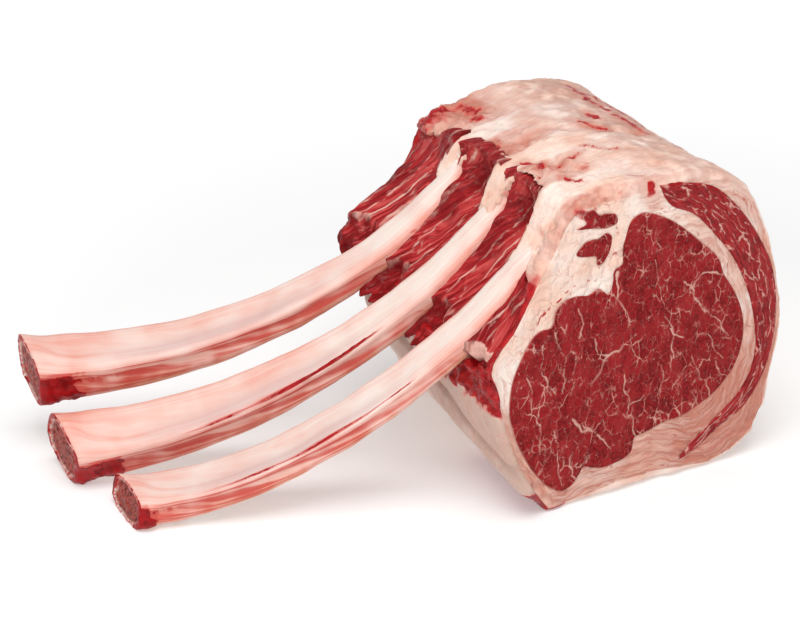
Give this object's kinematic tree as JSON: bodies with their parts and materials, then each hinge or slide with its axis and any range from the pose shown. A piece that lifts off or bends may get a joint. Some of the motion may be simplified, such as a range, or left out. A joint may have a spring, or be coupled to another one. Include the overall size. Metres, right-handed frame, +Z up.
{
  "type": "raw tomahawk rib roast",
  "caption": "Raw bone-in rib roast: a block of marbled beef with a fat cover and long frenched rib bones reaching out to one side.",
  "frame": {"origin": "on the flat underside of the block of meat, halfway between its two cut faces", "axes": "+Z up, Y through the block from the front cut face to the back one, the rib bones reach towards -X"},
  "size_m": [0.355, 0.2145, 0.1678],
  "materials": {
    "fat": "moist satin",
    "lean": "moist satin",
    "bone": "satin",
    "rib_meat": "wet"
  },
  "bodies": {
    "root": {"fat_cover": "fat", "eye_muscle": "lean", "cap_muscle": "lean", "upper_strip_muscle": "lean", "lower_strip_muscle": "lean", "rib_front": "bone", "rib_middle": "bone", "rib_back": "bone", "rib_meat_front": "rib_meat", "rib_meat_front_gap": "rib_meat", "rib_meat_back_gap": "rib_meat", "rib_meat_back": "rib_meat"}
  },
  "joints": []
}
